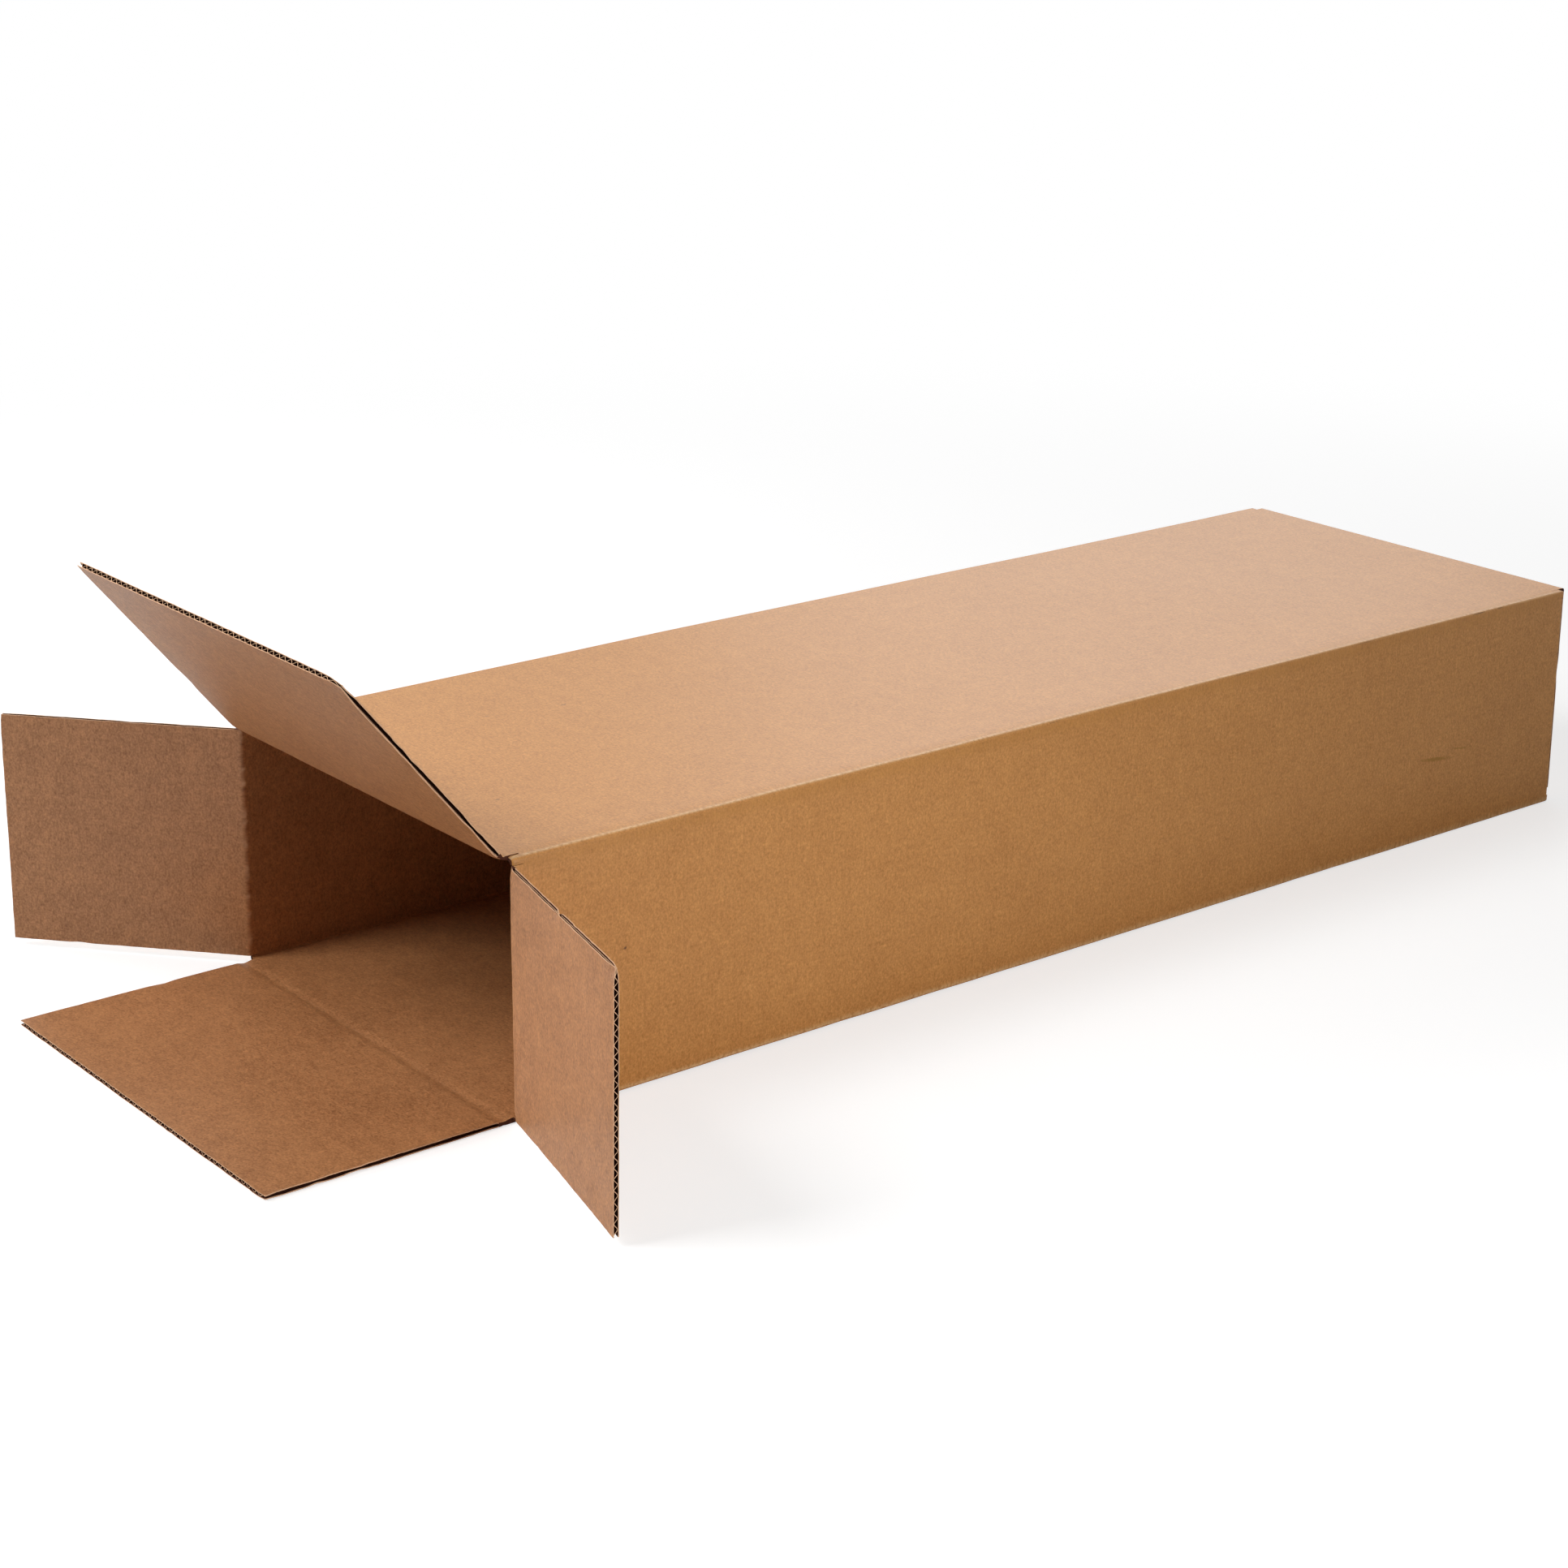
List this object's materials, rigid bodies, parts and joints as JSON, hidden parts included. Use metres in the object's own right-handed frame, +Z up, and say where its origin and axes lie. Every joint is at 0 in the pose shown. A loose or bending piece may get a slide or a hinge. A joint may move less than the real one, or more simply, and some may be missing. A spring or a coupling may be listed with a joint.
{
  "type": "open cardboard box",
  "caption": "Long end-opening full-overlap shipping carton in kraft corrugated board, lying on a wide panel, with its end flaps folded open.",
  "frame": {"origin": "middle of the base panel's outer face, on the surface the carton lies on, halfway between the side panels and halfway along them", "axes": "+Z up, +Y along the carton from the open end to the glued end, +X towards the right side panel seen from the open end"},
  "size_m": [0.7191, 1.3354, 0.3497],
  "materials": {
    "kraft_board": "matte"
  },
  "bodies": {
    "carton": {"carton": "kraft_board"},
    "top_flap": {"top_flap": "kraft_board"},
    "bottom_flap": {"bottom_flap": "kraft_board"},
    "left_flap": {"left_flap": "kraft_board"},
    "right_flap": {"right_flap": "kraft_board"}
  },
  "joints": [
    {"name": "top_flap_fold", "type": "hinge", "parent": "carton", "child": "top_flap", "pos_m": [0, -0.5685, 0.2], "axis": [-1, 0, 0], "range_deg": [-140.5, 124.5]},
    {"name": "bottom_flap_fold", "type": "hinge", "parent": "carton", "child": "bottom_flap", "pos_m": [0, -0.573, 0], "axis": [1, 0, 0], "range_deg": [-90, 0]},
    {"name": "left_flap_fold", "type": "hinge", "parent": "carton", "child": "left_flap", "pos_m": [-0.1905, -0.564, 0.1], "axis": [0, 0, -1], "range_deg": [-141, 126]},
    {"name": "right_flap_fold", "type": "hinge", "parent": "carton", "child": "right_flap", "pos_m": [0.1905, -0.564, 0.1], "axis": [0, 0, 1], "range_deg": [-166, 99]}
  ]
}
